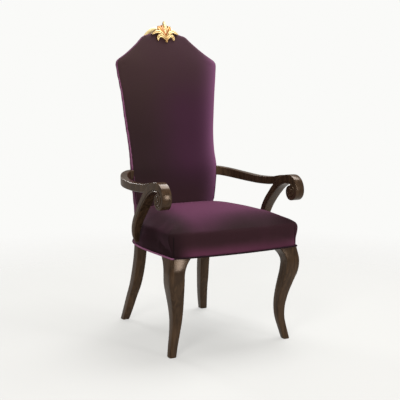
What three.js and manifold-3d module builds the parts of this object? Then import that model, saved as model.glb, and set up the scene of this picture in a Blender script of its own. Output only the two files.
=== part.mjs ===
// A high-backed armchair throne: carved dark wood legs and scrolled arms, an upholstered
// seat and shield-shaped back, and a gilded leaf ornament over the top of the back.
// Millimetres, +Z up. The throne faces -Y, so +X is the sitter's left.
import * as THREE from "three";
import { mergeVertices } from "three/addons/utils/BufferGeometryUtils.js";
import Module from "manifold-3d";

const wasm = await Module();
wasm.setup();

// Driving dimensions
const DEPTH_CENTRE = 253.5;          // from the front feet back to the middle of the whole box
const FOOT_DROP = 3.5;             // the feet reach this far below the plane heights start from
const FIT_GAP = 0.35;              // between pieces that touch

const SEAT_BOTTOM = 365;           // underside of the upholstered seat above the floor
const SEAT_EDGE_TOP = 453;         // top of the border that runs round the seat
const SEAT_CORNER_DROP = 6;        // the border is this much lower at the front corners
const SEAT_REAR_RISE = 23;         // and this much higher along the back
const SEAT_CROWN_TOP = 516;
const SEAT_HALF_WIDTH = 267;
const SEAT_FRONT = 44;             // front corners stand this far before the front feet
const SEAT_BOW = 22;               // further swell of the front edge at the middle
const SEAT_CORNER_RADIUS = 15;
const SEAT_REAR = 436.65;
const SEAT_SIDE_BULGE = 2.5;

const BACK_BOTTOM = SEAT_BOTTOM + 1;
const BACK_TOP = 1189;
const BACK_SHOULDER = 1056;
const BACK_CORNER = new THREE.Vector2(92, 1173);   // end of the short top edge
const BACK_CROWN = 17;             // swell of the front padding
const BACK_REAR_SWELL = 4;

const WELT_RADIUS = 3.1;
const WELT_REBATE = 7;             // chamfer that the seat's welt lies in
const WELT_PROUD = 0.9;            // its centre stands out from the border
const BACK_WELT_RADIUS = 2.2;
const BACK_WELT_DEPTH = 5.5;       // its centre lies this far behind the front edge
const BACK_WELT_REBATE = 4.8;      // depth of the groove that it lies in
const BACK_WELT_START = 492;

const LEG_TOP = SEAT_BOTTOM - FIT_GAP;
const EAR_START = 298;             // height where the knee's ears begin to flare
const EAR_REACH = 24;

const BOARD_INNER = 264;           // arm support, at the scroll
const BOARD_OUTER = 300;
const BOARD_EDGE = 1.6;            // eased edge of the support
const SCROLL_CENTRE = new THREE.Vector2(17, 577);  // of the first and largest arc, as depth and height
const SCROLL_ARCS = [57, 40, 32, 25];              // quarter arcs of the scroll's outline
const GROOVE_ARCS = [19, 14, 10, 6.5];             // the carved line runs on inwards
const GROOVE_DEPTH = 2.6;
const GROOVE_HALF = 2.4;

const RAIL_WIDTH = 28.4;
const RAIL_HEIGHT = 31;
const RAIL_DEEPER = 7;             // the underside drops by this much towards the back

const ORNAMENT_FOOT = 1150;        // lowest tip of the front spray
const ORNAMENT_FACE = 530;         // depth of the spray's bed there
const ORNAMENT_LEAN = 0.3;
const LEAF_BED = 4;                // leaves are this thick behind their edges
const WING_DEPTH = 571;

// Stations: [height, centre across, centre in depth, width]
const FRONT_LEG = [
  [-FOOT_DROP, 248, -0.5, 26.5], [35, 239.5, 7, 28.5], [83, 229, 13, 32], [130, 225.5, 10.5, 37],
  [179, 229.5, 2.5, 43.5], [227, 238, -8.5, 51], [276, 247, -20.5, 58], [310, 248.5, -24, 58.5],
  [365, 241, -15.5, 57],
];
const REAR_LEG = [
  [-FOOT_DROP, 187.5, 555, 29.5], [50, 177, 539, 33.5], [100, 168.5, 524, 36], [150, 160.5, 506, 39],
  [220, 153.5, 489, 41], [290, 151, 474, 41], [365, 151, 466, 41],
];
// [height, half width, depth of the front edge, thickness at the edge]
const BACK_SHAPE = [
  [365, 170, 437, 46], [485, 176, 437, 42], [560, 185, 437, 38], [640, 191.5, 443, 32],
  [700, 190, 458.5, 28], [780, 194.5, 476, 26], [860, 202.5, 486.5, 24], [940, 210.2, 494, 23],
  [1020, 221.5, 505.5, 22], [1060, 226, 511, 22], [1120, 226, 525, 22], [1190, 226, 545, 24],
];
// Right half of the back's outline from the shoulder to the top corner
const BACK_SLOPE = [
  [225, 1064], [219, 1073], [206, 1082], [188, 1093.5], [171, 1105.5], [140, 1130],
  [113, 1153.5], [100, 1166.5],
];
// [depth, half width] of the seat behind its front corners
const SEAT_SIDE = [
  [-28, 267], [60, 270], [130, 272], [205, 269.5], [283, 260], [350, 238], [400, 208], [437, 178],
];
// [depth, height] up the arm support's front edge, from its foot to the scroll
const SUPPORT_FRONT = [
  [216, 388], [208, 417], [200, 440], [178, 484], [148, 521], [115, 553], [78, 582], [48, 595.5],
  [18, 600.5], [4, 599],
];
// and down its rear edge, from behind the scroll to the foot
const SUPPORT_REAR = [
  [38, 632.5], [58, 628], [80, 617], [103, 602], [126, 583.5], [149, 560], [171, 536], [190, 513],
  [207, 491], [220, 470], [229, 447], [232, 427], [229, 408], [223, 391],
];
// Centre line of the arm rail, from the support round to the back: [across, depth, height]
const RAIL_PATH = [
  [278.5, 84, 611], [278.4, 132, 602], [278, 200, 597], [277.5, 250, 596], [275, 300, 598],
  [269.5, 343, 601.5], [259.5, 380, 606], [246, 411, 611], [228.5, 436, 616], [208, 452, 620],
  [178, 460, 622],
];

// Colours and finishes
const finish = (name, color, roughness, metalness) =>
  new THREE.MeshStandardMaterial({ name, color, roughness, metalness });
const wood = () => finish("wood", 0x2b221c, 0.32, 0);
const velvet = () => finish("velvet", 0x3a1f36, 0.9, 0);
const welting = () => finish("welt", 0x4a2846, 0.85, 0);
const gilding = () => finish("gilding", 0xd9a441, 0.35, 1);
const lining = () => finish("lining", 0x151313, 0.95, 0);

// Values that pass smoothly through the stations: each is [key, value, value, ...]
function through(stations, key) {
  const last = stations.length - 1;
  let i = 0;
  while (i < last - 1 && key > stations[i + 1][0]) i += 1;
  const [from, to] = [stations[i], stations[i + 1]];
  const span = to[0] - from[0];
  const u = THREE.MathUtils.clamp((key - from[0]) / span, 0, 1);
  const slope = (k, c) => {
    const before = stations[Math.max(k - 1, 0)];
    const after = stations[Math.min(k + 1, last)];
    return (after[c] - before[c]) / (after[0] - before[0]);
  };
  const values = [];
  for (let c = 1; c < from.length; c += 1) {
    const blend = from[c] + (to[c] - from[c]) * u * u * (3 - 2 * u);
    const bend = u * (1 - u) ** 2 * slope(i, c) - u * u * (1 - u) * slope(i + 1, c);
    values.push(blend + bend * span);
  }
  return values;
}

const spread = (count, low, high) =>
  Array.from({ length: count }, (_, i) => low + ((high - low) * i) / (count - 1));

const smoothPath = (points, count) =>
  new THREE.SplineCurve(points.map((p) => new THREE.Vector2(...p))).getPoints(count);

// Points of a circle's arc, with the angles in quarter turns
function arcPoints(centre, radius, from, to, steps) {
  return spread(steps + 1, from, to).map((quarter) => new THREE.Vector2(
    centre.x + radius * Math.cos((quarter * Math.PI) / 2),
    centre.y + radius * Math.sin((quarter * Math.PI) / 2)));
}

function geometryOf(position, index) {
  const geometry = new THREE.BufferGeometry();
  geometry.setAttribute("position", new THREE.Float32BufferAttribute(position, 3));
  geometry.setIndex(index);
  return geometry;
}

function flip(geometry) {
  const index = geometry.index.array;
  for (let i = 0; i < index.length; i += 3) [index[i], index[i + 1]] = [index[i + 1], index[i]];
  return geometry;
}

// Faces turned outwards, found from the sign of the enclosed volume
function facingOut(geometry) {
  const position = geometry.attributes.position;
  const index = geometry.index.array;
  const corner = (i) => new THREE.Vector3().fromBufferAttribute(position, index[i]);
  let volume = 0;
  for (let i = 0; i < index.length; i += 3) {
    volume += corner(i).dot(corner(i + 1).cross(corner(i + 2)));
  }
  return volume < 0 ? flip(geometry) : geometry;
}

// A closed body through rings of equal point counts, its ends fanned from their middles
function loft(rings) {
  const size = rings[0].length;
  const position = rings.flat().flatMap((p) => [p.x, p.y, p.z]);
  const index = [];
  for (let r = 0; r < rings.length - 1; r += 1) {
    for (let i = 0; i < size; i += 1) {
      const a = r * size + i;
      const b = r * size + ((i + 1) % size);
      index.push(a, b, b + size, a, b + size, a + size);
    }
  }
  for (const [r, first, second] of [[0, 1, 0], [rings.length - 1, 0, 1]]) {
    const middle = new THREE.Vector3();
    rings[r].forEach((p) => middle.addScaledVector(p, 1 / size));
    const centre = position.length / 3;
    position.push(middle.x, middle.y, middle.z);
    for (let i = 0; i < size; i += 1) {
      const ends = [r * size + i, r * size + ((i + 1) % size)];
      index.push(centre, ends[first], ends[second]);
    }
  }
  return facingOut(geometryOf(position, index));
}

// The same piece for the other side of the throne
function mirrored(geometry) {
  const copy = geometry.clone();
  copy.scale(-1, 1, 1);
  return flip(copy);
}

function plain(geometry) {
  geometry.deleteAttribute("normal");
  geometry.deleteAttribute("uv");
  return mergeVertices(geometry, 1e-3);
}

function toSolid(geometry) {
  return new wasm.Manifold(new wasm.Mesh({
    numProp: 3,
    vertProperties: new Float32Array(geometry.attributes.position.array),
    triVerts: new Uint32Array(geometry.index.array),
  }));
}

function fromSolid(solid) {
  const mesh = solid.getMesh();
  return geometryOf(Array.from(mesh.vertProperties), Array.from(mesh.triVerts));
}

// A rectangle with each corner cut or rounded, counter-clockwise from its low corner
function easedRectangle([x0, x1], [y0, y1], cuts, steps) {
  const corners = [
    [x0, y0, 1, 1, 2], [x1, y0, -1, 1, 3], [x1, y1, -1, -1, 0], [x0, y1, 1, -1, 1],
  ];
  return corners.flatMap(([x, y, inX, inY, quarter], i) => {
    const centre = new THREE.Vector2(x + inX * cuts[i], y + inY * cuts[i]);
    return arcPoints(centre, cuts[i], quarter, quarter + 1, steps[i]);
  });
}

// Front leg: S-curved, its knee under the seat's corner, with a rounded outer ridge, a
// trimmed inner corner, and two ears that flare along the seat's underside
function frontLeg() {
  const heights = [-FOOT_DROP, 0, ...spread(10, 28, 276), 298, 318, 336, 350, LEG_TOP];
  return loft(heights.map((z) => {
    const [x, y, width] = through(FRONT_LEG, z);
    const half = width / 2 - (z < 0 ? 2 : 0);
    const flare = Math.max(0, (z - EAR_START) / (LEG_TOP - EAR_START));
    const ear = EAR_REACH * flare ** 2.4;
    const ring = easedRectangle(
      [x - half - ear, x + half], [y - half, y + half + ear],
      [3, width * 0.24, 3, width * 0.26], [1, 3, 1, 1]);
    return ring.map((p) => new THREE.Vector3(p.x, p.y, z));
  }));
}

// Rear leg: square, sabre-curved backwards and a little outwards
function rearLeg() {
  const heights = [-FOOT_DROP, 0, ...spread(10, 34, LEG_TOP)];
  return loft(heights.map((z) => {
    const [x, y, width] = through(REAR_LEG, z);
    const half = width / 2 - (z < 0 ? 2 : 0);
    const ring = easedRectangle([x - half, x + half], [y - half, y + half], Array(4).fill(4.5),
      Array(4).fill(1));
    return ring.map((p) => new THREE.Vector3(p.x, p.y, z));
  }));
}

// The scroll is drawn with quarter arcs, each smaller than the last and tangent to it
function scrollArcs(start, radii, firstQuarter, steps) {
  const points = [];
  const centre = start.clone();
  radii.forEach((radius, i) => {
    const quarter = firstQuarter + i;
    points.push(...arcPoints(centre, radius, quarter, quarter + 1, steps).slice(i === 0 ? 0 : 1));
    const next = radii[i + 1] ?? radius;
    const turn = ((quarter + 1) * Math.PI) / 2;
    centre.x += (radius - next) * Math.cos(turn);
    centre.y += (radius - next) * Math.sin(turn);
  });
  return { points, centre };
}

// Arm support: one thick board sawn to an S, curling into the scroll under the hand
function armSupport() {
  const coil = scrollArcs(SCROLL_CENTRE, SCROLL_ARCS, 1, 5);
  const outline = [
    ...smoothPath(SUPPORT_FRONT, 20),
    ...coil.points.toReversed(),
    ...smoothPath(SUPPORT_REAR, 22),
  ];
  const board = new THREE.ExtrudeGeometry(new THREE.Shape(outline), {
    depth: BOARD_OUTER - BOARD_INNER - 2 * BOARD_EDGE,
    bevelThickness: BOARD_EDGE,
    bevelSize: BOARD_EDGE,
    bevelOffset: -BOARD_EDGE,
    bevelSegments: 1,
  });
  const depthHeightAcross = new THREE.Matrix4().makeBasis(
    new THREE.Vector3(0, 1, 0), new THREE.Vector3(0, 0, 1), new THREE.Vector3(1, 0, 0));
  board.applyMatrix4(depthHeightAcross);
  board.translate(BOARD_INNER + BOARD_EDGE, 0, 0);

  const inward = scrollArcs(
    coil.centre.clone().add(new THREE.Vector2(0, SCROLL_ARCS.at(-1) - GROOVE_ARCS[0])),
    GROOVE_ARCS, 1, 6).points;
  let solid = toSolid(plain(board));
  for (const [face, out] of [[BOARD_OUTER, 1], [BOARD_INNER, -1]]) {
    solid = solid.subtract(toSolid(groove(inward, face, out)));
  }
  return taperFoot(fromSolid(solid));
}

// A V cut along a line on the board's face
function groove(line, face, out) {
  return loft(line.map((p, i) => {
    const along = line[Math.min(i + 1, line.length - 1)].clone().sub(line[Math.max(i - 1, 0)]);
    const side = new THREE.Vector2(-along.y, along.x).setLength(GROOVE_HALF);
    return [
      new THREE.Vector3(face + out, p.x + side.x, p.y + side.y),
      new THREE.Vector3(face + out, p.x - side.x, p.y - side.y),
      new THREE.Vector3(face - out * GROOVE_DEPTH, p.x, p.y),
    ];
  }));
}

// The support is a little thinner below and its foot turns in against the seat
function taperFoot(geometry) {
  const sides = [[380, 274, 284], [400, 273.8, 293], [435, 273.8, 298], [475, 268, 299.5],
    [520, 262.5, 300], [560, 263, 300], [640, 264, 300]];
  const position = geometry.attributes.position;
  for (let i = 0; i < position.count; i += 1) {
    const [inner, outer] = through(sides, position.getZ(i));
    const share = (position.getX(i) - BOARD_INNER) / (BOARD_OUTER - BOARD_INNER);
    position.setX(i, inner + share * (outer - inner));
  }
  return geometry;
}

// Arm rail: leaves the support level, sweeps round and rises to the back post
function armRail(support) {
  const path = new THREE.CatmullRomCurve3(RAIL_PATH.map((p) => new THREE.Vector3(...p)));
  const stops = 17;
  const rail = loft(spread(stops, 0, 1).map((t) => {
    const middle = path.getPointAt(t);
    const ahead = path.getTangentAt(t);
    const side = new THREE.Vector3(ahead.y, -ahead.x, 0).normalize();
    const underside = -RAIL_HEIGHT / 2 - RAIL_DEEPER * THREE.MathUtils.smoothstep(t, 0.45, 1);
    const ring = easedRectangle(
      [-RAIL_WIDTH / 2, RAIL_WIDTH / 2], [underside, RAIL_HEIGHT / 2], Array(4).fill(3),
      Array(4).fill(1));
    return ring.map((p) => middle.clone().addScaledVector(side, p.x).setZ(middle.z + p.y));
  }));
  return fromSolid(toSolid(rail).subtract(toSolid(support).translate([0, FIT_GAP, FIT_GAP])));
}

// The rail's rear end is scribed to the back pad and its welt, on the side that out names
function scribedToBack(rail, out) {
  const post = toSolid(backPad(0)).translate([out * FIT_GAP, 0, 0]);
  const piping = toSolid(backWelt(BACK_WELT_RADIUS + FIT_GAP));
  return fromSolid(toSolid(rail).subtract(post).subtract(piping));
}

// Outline of half the seat seen from above, from the middle of its front to its rear
function seatHalfOutline() {
  const corner = SEAT_HALF_WIDTH - SEAT_CORNER_RADIUS;
  const front = spread(6, 0, corner).map((x) => new THREE.Vector2(
    x, -SEAT_FRONT - SEAT_BOW * (1 - (x / SEAT_HALF_WIDTH) ** 2)));
  const turn = arcPoints(new THREE.Vector2(corner, -SEAT_FRONT + SEAT_CORNER_RADIUS - 2.3),
    SEAT_CORNER_RADIUS, -0.85, 0, 3);
  const side = spread(11, -22, SEAT_REAR).map((y) => new THREE.Vector2(through(SEAT_SIDE, y)[0], y));
  return [...front, ...turn, ...side, new THREE.Vector2(90, SEAT_REAR), new THREE.Vector2(0, SEAT_REAR)];
}

// Outline of half the back seen from the front, from the middle of its foot to its top
function backHalfOutline() {
  const foot = [new THREE.Vector2(0, BACK_BOTTOM), new THREE.Vector2(85, BACK_BOTTOM)];
  const side = spread(14, BACK_BOTTOM, BACK_SHOULDER).map((z) =>
    new THREE.Vector2(through(BACK_SHAPE, z)[0], z));
  const slope = BACK_SLOPE.map((p) => new THREE.Vector2(...p));
  const top = spread(5, BACK_CORNER.x, 0).map((x) => new THREE.Vector2(
    x, BACK_TOP - (BACK_TOP - BACK_CORNER.y) * (x / BACK_CORNER.x) ** 2));
  return [...foot, ...side, ...slope, ...top];
}

function bothHalves(half) {
  const inner = half.slice(1, -1).toReversed();
  return [...half, ...inner.map((p) => new THREE.Vector2(-p.x, p.y))];
}

// An outline moved inwards, each corner along the bisector of its edges
function inset(outline, distance) {
  const count = outline.length;
  return outline.map((p, i) => {
    const before = p.clone().sub(outline[(i + count - 1) % count]).normalize();
    const after = outline[(i + 1) % count].clone().sub(p).normalize();
    const inward = new THREE.Vector2(-before.y - after.y, before.x + after.x).normalize();
    const spreadOut = Math.max(0.6, inward.dot(new THREE.Vector2(-after.y, after.x)));
    return p.clone().addScaledVector(inward, distance / spreadOut);
  });
}

const towards = (outline, middle, share) => outline.map((p) => p.clone().lerp(middle, share));

// Seat: a boxed border with slightly bulging sides under a high crown
function seatCushion() {
  const outline = bothHalves(seatHalfOutline());
  const middle = new THREE.Vector2(0, 190);
  const edgeTop = (p) => {
    const rear = THREE.MathUtils.smoothstep(p.y, 260, SEAT_REAR);
    const corner = THREE.MathUtils.smoothstep(Math.abs(p.x), 200, SEAT_HALF_WIDTH)
      * THREE.MathUtils.smoothstep(-p.y, -40, SEAT_FRONT);
    return SEAT_EDGE_TOP + SEAT_REAR_RISE * rear - SEAT_CORNER_DROP * corner;
  };
  const level = (points, height) => points.map((p) => new THREE.Vector3(
    p.x, Math.min(p.y, SEAT_REAR), typeof height === "function" ? height(p) : height));
  const rings = [
    level(inset(outline, WELT_REBATE), SEAT_BOTTOM),
    level(outline, SEAT_BOTTOM + WELT_REBATE),
    level(inset(outline, -SEAT_SIDE_BULGE), 405),
    level(inset(outline, -SEAT_SIDE_BULGE / 2), 436),
    level(outline, (p) => edgeTop(p) - 3),
  ];
  for (const share of [0.012, 0.09, 0.2, 0.36, 0.56, 0.8]) {
    const fill = 1 - (1 - share) ** 4;
    const dome = towards(outline, middle, share).map((p, i) => {
      const rim = edgeTop(outline[i]);
      return new THREE.Vector3(p.x, p.y, rim + (SEAT_CROWN_TOP - rim) * fill);
    });
    rings.push(dome);
  }
  return loft(rings);
}

// Back: a shield-shaped pad that leans back as it rises, with a groove for its welt
function backPad(rebate) {
  const outline = bothHalves(backHalfOutline());
  const groove = inset(outline, rebate).map((p, i) => (p.y > BACK_WELT_START - 8 ? p : outline[i]));
  const middle = new THREE.Vector2(0, 770);
  const place = (points, depth) => points.map((p) => {
    const [, front, thickness] = through(BACK_SHAPE, p.y);
    return new THREE.Vector3(p.x, front + depth(thickness, p.y), p.y);
  });
  const swell = (share) => 1 - (1 - share) ** 3;
  const rear = [0.6, 0.25, 0.08].map((share) =>
    place(towards(outline, middle, share), (t) => t + BACK_REAR_SWELL * swell(share)));
  const edge = [
    place(inset(outline, 2.5), (t) => t),
    place(outline, (t) => t - 2.5),
    place(outline, () => BACK_WELT_DEPTH + rebate),
    place(groove, () => BACK_WELT_DEPTH),
    place(inset(outline, 0.4), () => 1.2),
    place(inset(outline, 3.6), () => 0),
  ];
  const aboveSeat = (z) => THREE.MathUtils.smoothstep(z, SEAT_CROWN_TOP + 30, SEAT_CROWN_TOP + 130);
  const front = [0.07, 0.18, 0.4, 0.7].map((share) =>
    place(towards(outline, middle, share), (_, z) => -BACK_CROWN * swell(share) * aboveSeat(z)));
  return loft([...rear, ...edge, ...front]);
}

// A round cord sewn along a line; up is a direction across the face that it edges
function welt(line, radius, up) {
  const sides = 6;
  return loft(line.map((p, i) => {
    const ahead = line[Math.min(i + 1, line.length - 1)].clone().sub(line[Math.max(i - 1, 0)]);
    const side = ahead.clone().cross(up).normalize();
    const rise = side.clone().cross(ahead).normalize();
    return Array.from({ length: sides }, (_, k) => (2 * Math.PI * k) / sides).map((turn) =>
      p.clone().addScaledVector(side, radius * Math.cos(turn))
        .addScaledVector(rise, radius * Math.sin(turn)));
  }));
}

// The seat's welt runs from the back, round the sides and front, to the back again
function seatWelt() {
  const outline = inset(bothHalves(seatHalfOutline()), -WELT_PROUD);
  const rear = SEAT_REAR - WELT_RADIUS;
  const right = outline.slice(0, outline.findIndex((p) => p.y > rear));
  const left = outline.slice(outline.findLastIndex((p) => p.y > rear) + 1);
  const height = SEAT_BOTTOM + WELT_RADIUS;
  return welt([...left, ...right].map((p) => new THREE.Vector3(p.x, p.y, height)), WELT_RADIUS,
    new THREE.Vector3(0, 0, 1));
}

// The back's welt begins and ends just above the seat
function backWelt(radius) {
  const outline = inset(bothHalves(backHalfOutline()), 0.6);
  return welt(outline.filter((p) => p.y > BACK_WELT_START).map((p) =>
    new THREE.Vector3(p.x, through(BACK_SHAPE, p.y)[1] + BACK_WELT_DEPTH, p.y)), radius,
  new THREE.Vector3(0, -1, 0));
}

// Lining: a thin dust cover under the seat, cut back clear of the legs
function seatLining() {
  const half = [
    [0, -52], [165, -46], [165, 48], [252, 48], [252, 210], [240, 290], [205, 380], [125, 380],
    [125, 428], [0, 428],
  ];
  const shape = new THREE.Shape(bothHalves(half.map((p) => new THREE.Vector2(...p))));
  const sheet = new THREE.ExtrudeGeometry(shape, { depth: 1.6, bevelEnabled: false });
  sheet.translate(0, 0, SEAT_BOTTOM - FIT_GAP - 1.6);
  return plain(sheet);
}

// One carved leaf of the ornament: a path across the back's face as [across, height] with a
// half width and a relief at each point, two rounded ridges and a vein between them
function leaf(path, widths, reliefs, side) {
  const line = new THREE.SplineCurve(path.map(([x, z]) => new THREE.Vector2(x * side, z)));
  const keys = (values) => values.map((v, i) => [i / (values.length - 1), v]);
  const stops = 3 + 2 * (path.length - 1);
  return loft(spread(stops, 0, 1).map((t) => {
    const middle = line.getPoint(t);
    const ahead = line.getTangent(t);
    const across = new THREE.Vector2(-ahead.y, ahead.x);
    const [half] = through(keys(widths), t);
    const [relief] = through(keys(reliefs), t);
    const section = [
      [-1, 1], [-0.55, relief], [0, relief * 0.62], [0.55, relief], [1, 1], [0, -LEAF_BED],
    ];
    return section.map(([share, proud]) => {
      const p = middle.clone().addScaledVector(across, half * share);
      return new THREE.Vector3(p.x, ornamentFace(p.y) - proud, p.y);
    });
  }));
}

const ornamentFace = (z) => ORNAMENT_FACE + ORNAMENT_LEAN * (z - ORNAMENT_FOOT);

// A leaf that lies along the top of the back, behind the fan
function wing(side) {
  const path = [[6, 1200], [28, 1204], [54, 1194], [81, 1177]];
  const line = new THREE.SplineCurve(path.map(([x, z]) => new THREE.Vector2(x * side, z)));
  return loft(spread(7, 0, 1).map((t) => {
    const middle = line.getPoint(t);
    const ahead = line.getTangent(t);
    const across = new THREE.Vector2(-ahead.y, ahead.x);
    const half = 8.5 * (1 - t ** 3) + 1.5;
    const section = [[-1, 0], [-0.4, 6], [0.4, 5], [1, 0], [0.4, -5], [-0.4, -6]];
    return section.map(([share, proud]) => {
      const p = middle.clone().addScaledVector(across, half * share);
      return new THREE.Vector3(p.x, WING_DEPTH - proud * (1 - 0.6 * t), p.y);
    });
  }));
}

// The part that sits astride the top of the back and joins front, fan and wings
function saddle() {
  const rings = [[-30, 1180, 4], [-18, 1186, 10], [0, 1188, 15], [18, 1186, 10], [30, 1180, 4]];
  return loft(rings.map(([x, z, rise]) => [
    [ORNAMENT_FACE + 1, z - 8], [ORNAMENT_FACE + 7, z + rise], [WING_DEPTH, z + rise + 2],
    [WING_DEPTH + 4, z - 14], [WING_DEPTH - 12, z - 14],
  ].map(([y, height]) => new THREE.Vector3(x, y, height))));
}

// Crest ornament: a spray of leaves cast in one piece, fitted to the back's top
function crestOrnament() {
  const leaves = [
    leaf([[0, 1172], [0, 1205], [0, 1234]], [5, 9, 3], [9, 9, 6], 1),
    leaf([[0, 1175], [0, 1163], [0, 1149]], [8, 7, 1.5], [15, 13, 8], 1),
  ];
  for (const side of [-1, 1]) {
    leaves.push(
      leaf([[3, 1174], [13, 1202], [25, 1221]], [4, 8, 3], [9, 8, 5], side),
      leaf([[5, 1174], [22, 1196], [39, 1209]], [4, 7, 2.5], [8, 7, 4], side),
      leaf([[4, 1168], [18, 1187], [36, 1192], [56, 1183]], [5, 7, 7.5, 2], [12, 11, 10, 6], side),
      leaf([[3, 1162], [17, 1175], [32, 1172], [38, 1156]], [4.5, 6.5, 7, 2], [14, 12, 10, 6], side),
      leaf([[2, 1158], [10, 1164], [17, 1162], [20, 1155]], [3, 4, 4, 1.5], [12, 9, 7, 5], side),
      wing(side),
    );
  }
  const joined = leaves.reduce((sum, g) => sum.add(toSolid(g)), toSolid(saddle()));
  const pad = toSolid(backPad(0));
  const clear = pad.translate([0, -FIT_GAP, 0]).add(pad.translate([0, FIT_GAP, FIT_GAP]));
  const piping = toSolid(backWelt(BACK_WELT_RADIUS + FIT_GAP));
  return fromSolid(joined.subtract(clear).subtract(piping));
}

const support = armSupport();
const rail = armRail(support);
const leg = { front: frontLeg(), rear: rearLeg() };

const throne = new THREE.Group();
throne.position.set(0, -DEPTH_CENTRE, FOOT_DROP);

function place(name, geometry, material) {
  const mesh = new THREE.Mesh(geometry, material);
  mesh.name = name;
  throne.add(mesh);
}

for (const [hand, out, turned] of [["left", 1, (g) => g], ["right", -1, mirrored]]) {
  place(`front_leg_${hand}`, turned(leg.front), wood());
  place(`rear_leg_${hand}`, turned(leg.rear), wood());
  place(`arm_support_${hand}`, turned(support), wood());
  place(`arm_rail_${hand}`, scribedToBack(turned(rail), out), wood());
}
place("seat_cushion", seatCushion(), velvet());
place("seat_welt", seatWelt(), welting());
place("seat_lining", seatLining(), lining());
place("back_pad", backPad(BACK_WELT_REBATE), velvet());
place("back_welt", backWelt(BACK_WELT_RADIUS), welting());
place("crest_ornament", crestOrnament(), gilding());

export default throne;
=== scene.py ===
import bmesh
import bpy
import numpy as np
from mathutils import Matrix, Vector
from mathutils.kdtree import KDTree


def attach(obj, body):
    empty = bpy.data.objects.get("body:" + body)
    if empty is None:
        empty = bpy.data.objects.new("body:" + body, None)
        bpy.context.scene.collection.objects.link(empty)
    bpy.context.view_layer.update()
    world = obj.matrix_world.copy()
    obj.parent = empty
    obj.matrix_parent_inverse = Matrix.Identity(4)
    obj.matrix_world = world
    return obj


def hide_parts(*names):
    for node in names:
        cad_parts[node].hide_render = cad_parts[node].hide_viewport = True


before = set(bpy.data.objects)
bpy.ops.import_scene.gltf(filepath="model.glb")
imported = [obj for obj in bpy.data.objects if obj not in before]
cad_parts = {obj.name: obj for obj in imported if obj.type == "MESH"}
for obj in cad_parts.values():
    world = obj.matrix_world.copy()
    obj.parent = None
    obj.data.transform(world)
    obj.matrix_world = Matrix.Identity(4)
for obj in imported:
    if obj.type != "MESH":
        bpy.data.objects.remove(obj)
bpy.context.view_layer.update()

# The room: a photographer's white floor that runs out into a white surround, a camera at
# standing distance to the throne's right, and four large soft lights.
FEET_BEFORE_MIDDLE = 253.5   # mm from the middle of the frame forward to the front feet
FOOT_DROP = 3.5              # mm that the feet reach below the plane heights start from
CAMERA_PLACE = (-1581.8, -2638.1, 967.7)
CAMERA_TURN = 0.5029         # radians to the right of straight ahead
CAMERA_DIP = 0.1333
CAMERA_LENS = 75.95          # mm on a 36 mm wide sensor


def placed(points):
    """Millimetres from the front feet, as metres in the part's frame."""
    return (np.asarray(points, float) + (0, -FEET_BEFORE_MIDDLE, FOOT_DROP)) / 1000


def from_points(name, points, faces):
    mesh = bpy.data.meshes.new(name)
    mesh.from_pydata([tuple(p) for p in points], [], faces)
    mesh.update()
    piece = bpy.data.objects.new(name, mesh)
    bpy.context.scene.collection.objects.link(piece)
    return piece


class Wire:
    """One output of a shader node, so that shader maths reads as plain sums."""

    def __init__(self, finish, socket):
        self.finish = finish
        self.socket = socket

    def maths(self, operation, *values):
        settings = {"operation": operation}
        return self.finish.add("ShaderNodeMath", settings, dict(enumerate(values)))

    def __add__(self, other):
        return self.maths("ADD", self, other)

    def __sub__(self, other):
        return self.maths("SUBTRACT", self, other)

    def __rsub__(self, other):
        return self.maths("SUBTRACT", other, self)

    def __mul__(self, other):
        return self.maths("MULTIPLY", self, other)

    def __truediv__(self, other):
        return self.maths("DIVIDE", self, other)

    def __pow__(self, other):
        return self.maths("POWER", self, other)

    __radd__ = __add__
    __rmul__ = __mul__

    def rise(self, low, high, kind="SMOOTHSTEP"):
        """0 below low, 1 above high, and smooth between."""
        return self.finish.add("ShaderNodeMapRange", {"interpolation_type": kind},
                               {"Value": self, "From Min": low, "From Max": high})


class Finish:
    """A material with its node tree."""

    def __init__(self, name, **sockets):
        self.material = bpy.data.materials.new(name)
        self.material.use_nodes = True
        self.tree = self.material.node_tree
        self.shader = self.tree.nodes["Principled BSDF"]
        self.paint(**{key.replace("_", " "): value for key, value in sockets.items()})

    def feed(self, socket, value):
        if isinstance(value, Wire):
            self.tree.links.new(value.socket, socket)
        else:
            socket.default_value = value

    def add(self, kind, settings, sockets, output=0):
        node = self.tree.nodes.new(kind)
        for key, value in settings.items():
            setattr(node, key, value)
        for key, value in sockets.items():
            self.feed(node.inputs[key], value)
        return Wire(self, node.outputs[output])

    def paint(self, **sockets):
        for key, value in sockets.items():
            self.feed(self.shader.inputs[key.replace("_", " ")], value)

    def place(self, stretch=(1, 1, 1), turn=(0, 0, 0)):
        """The spot on the piece, stretched and turned."""
        spot = self.add("ShaderNodeTexCoord", {}, {}, "Object")
        return self.add("ShaderNodeMapping", {}, {"Vector": spot, "Scale": stretch, "Rotation": turn})

    def along(self, axis):
        spot = self.add("ShaderNodeTexCoord", {}, {}, "Object")
        return self.add("ShaderNodeSeparateXYZ", {}, {0: spot}, axis)

    def mark(self, name):
        """A value that the piece carries at each of its points."""
        return self.add("ShaderNodeAttribute", {"attribute_name": name}, {}, "Fac")

    def noise(self, scale, detail=4, roughness=0.5, distortion=0, **placing):
        return self.add("ShaderNodeTexNoise", {}, {
            "Vector": self.place(**placing), "Scale": scale, "Detail": detail,
            "Roughness": roughness, "Distortion": distortion}, "Fac")

    def mix(self, share, first, second):
        node = self.tree.nodes.new("ShaderNodeMix")
        node.data_type = "RGBA"
        for index, value in ((0, share), (6, first), (7, second)):
            self.feed(node.inputs[index], value)
        return Wire(self, node.outputs[2])

    def bump(self, height, strength, distance):
        return self.add("ShaderNodeBump", {}, {
            "Height": height, "Strength": strength, "Distance": distance})


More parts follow.
